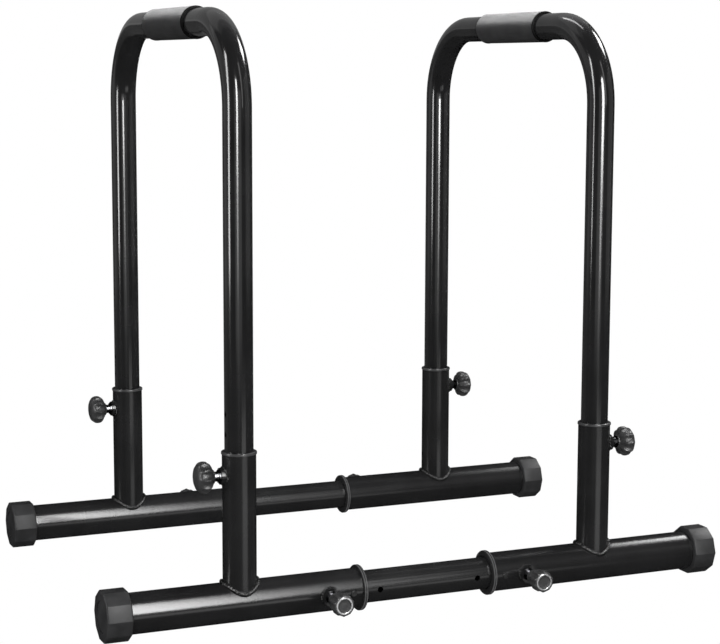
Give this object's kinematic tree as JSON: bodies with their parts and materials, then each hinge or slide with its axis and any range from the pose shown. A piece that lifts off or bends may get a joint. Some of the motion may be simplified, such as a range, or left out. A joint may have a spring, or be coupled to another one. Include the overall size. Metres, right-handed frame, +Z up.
{
  "type": "parallel bars",
  "caption": "Free-standing low parallel bars: bent-tube handles in sockets on a telescoping base, with pull pins for height and width and soft grips.",
  "frame": {"origin": "on the floor, in the middle of the footprint", "axes": "+X along the base tubes, from the left handle to the right one; +Y from front to rear, along the handles; +Z up"},
  "size_m": [0.908, 0.672, 0.8112],
  "materials": {
    "powder_coat": "glossy black powder coat",
    "cap_rubber": "matte moulded rubber",
    "bush_plastic": "satin moulded plastic",
    "knob_plastic": "satin moulded plastic with a fine grain",
    "grip_foam": "matte dense foam rubber",
    "plated_steel": "dark bright plating",
    "spring_steel": "drawn wire"
  },
  "bodies": {
    "connector_tubes": {"front_connector_tube": "powder_coat", "rear_connector_tube": "powder_coat"},
    "left_frame": {"base_tube_front_left": "powder_coat", "upright_socket_front_left": "powder_coat", "end_cap_front_left": "cap_rubber", "base_bush_front_left": "bush_plastic", "socket_bush_front_left": "bush_plastic", "height_spring_front_left": "spring_steel", "width_spring_front_left": "spring_steel", "base_tube_rear_left": "powder_coat", "upright_socket_rear_left": "powder_coat", "end_cap_rear_left": "cap_rubber", "base_bush_rear_left": "bush_plastic", "socket_bush_rear_left": "bush_plastic", "height_spring_rear_left": "spring_steel", "width_spring_rear_left": "spring_steel", "welded_nuts_left": "powder_coat", "plunger_housings_left": "plated_steel", "bush_rivets_left": "plated_steel"},
    "left_handle": {"left_handle_tube": "powder_coat", "left_grip": "grip_foam"},
    "height_pin_front_left": {"height_plunger_front_left": "plated_steel", "height_knob_front_left": "knob_plastic"},
    "width_pin_front_left": {"width_plunger_front_left": "plated_steel", "width_knob_front_left": "knob_plastic"},
    "height_pin_rear_left": {"height_plunger_rear_left": "plated_steel", "height_knob_rear_left": "knob_plastic"},
    "width_pin_rear_left": {"width_plunger_rear_left": "plated_steel", "width_knob_rear_left": "knob_plastic"},
    "right_frame": {"base_tube_front_right": "powder_coat", "upright_socket_front_right": "powder_coat", "end_cap_front_right": "cap_rubber", "base_bush_front_right": "bush_plastic", "socket_bush_front_right": "bush_plastic", "height_spring_front_right": "spring_steel", "width_spring_front_right": "spring_steel", "base_tube_rear_right": "powder_coat", "upright_socket_rear_right": "powder_coat", "end_cap_rear_right": "cap_rubber", "base_bush_rear_right": "bush_plastic", "socket_bush_rear_right": "bush_plastic", "height_spring_rear_right": "spring_steel", "width_spring_rear_right": "spring_steel", "welded_nuts_right": "powder_coat", "plunger_housings_right": "plated_steel", "bush_rivets_right": "plated_steel"},
    "right_handle": {"right_handle_tube": "powder_coat", "right_grip": "grip_foam"},
    "height_pin_front_right": {"height_plunger_front_right": "plated_steel", "height_knob_front_right": "knob_plastic"},
    "width_pin_front_right": {"width_plunger_front_right": "plated_steel", "width_knob_front_right": "knob_plastic"},
    "height_pin_rear_right": {"height_plunger_rear_right": "plated_steel", "height_knob_rear_right": "knob_plastic"},
    "width_pin_rear_right": {"width_plunger_rear_right": "plated_steel", "width_knob_rear_right": "knob_plastic"}
  },
  "joints": [
    {"name": "left_frame_slide", "type": "slide", "parent": "connector_tubes", "child": "left_frame", "axis": [1, 0, 0], "range_m": [0, 0.075]},
    {"name": "left_handle_slide", "type": "slide", "parent": "left_frame", "child": "left_handle", "axis": [0, 0, 1], "range_m": [-0.081, 0]},
    {"name": "height_pin_pull_front_left", "type": "slide", "parent": "left_frame", "child": "height_pin_front_left", "axis": [-1, 0, 0], "range_m": [-0.005, 0], "stiffness_N_per_m": 1200, "springref_m": -0.012, "deforming": ["height_spring_front_left"]},
    {"name": "width_pin_pull_front_left", "type": "slide", "parent": "left_frame", "child": "width_pin_front_left", "axis": [0, -1, 0], "range_m": [-0.0055, 0], "stiffness_N_per_m": 1200, "springref_m": -0.012, "deforming": ["width_spring_front_left"]},
    {"name": "height_pin_pull_rear_left", "type": "slide", "parent": "left_frame", "child": "height_pin_rear_left", "axis": [-1, 0, 0], "range_m": [-0.005, 0], "stiffness_N_per_m": 1200, "springref_m": -0.012, "deforming": ["height_spring_rear_left"]},
    {"name": "width_pin_pull_rear_left", "type": "slide", "parent": "left_frame", "child": "width_pin_rear_left", "axis": [0, 1, 0], "range_m": [-0.0055, 0], "stiffness_N_per_m": 1200, "springref_m": -0.012, "deforming": ["width_spring_rear_left"]},
    {"name": "right_frame_slide", "type": "slide", "parent": "connector_tubes", "child": "right_frame", "axis": [-1, 0, 0], "range_m": [0, 0.075]},
    {"name": "right_handle_slide", "type": "slide", "parent": "right_frame", "child": "right_handle", "axis": [0, 0, 1], "range_m": [-0.081, 0]},
    {"name": "height_pin_pull_front_right", "type": "slide", "parent": "right_frame", "child": "height_pin_front_right", "axis": [1, 0, 0], "range_m": [-0.005, 0], "stiffness_N_per_m": 1200, "springref_m": -0.012, "deforming": ["height_spring_front_right"]},
    {"name": "width_pin_pull_front_right", "type": "slide", "parent": "right_frame", "child": "width_pin_front_right", "axis": [0, -1, 0], "range_m": [-0.0055, 0], "stiffness_N_per_m": 1200, "springref_m": -0.012, "deforming": ["width_spring_front_right"]},
    {"name": "height_pin_pull_rear_right", "type": "slide", "parent": "right_frame", "child": "height_pin_rear_right", "axis": [1, 0, 0], "range_m": [-0.005, 0], "stiffness_N_per_m": 1200, "springref_m": -0.012, "deforming": ["height_spring_rear_right"]},
    {"name": "width_pin_pull_rear_right", "type": "slide", "parent": "right_frame", "child": "width_pin_rear_right", "axis": [0, 1, 0], "range_m": [-0.0055, 0], "stiffness_N_per_m": 1200, "springref_m": -0.012, "deforming": ["width_spring_rear_right"]}
  ]
}
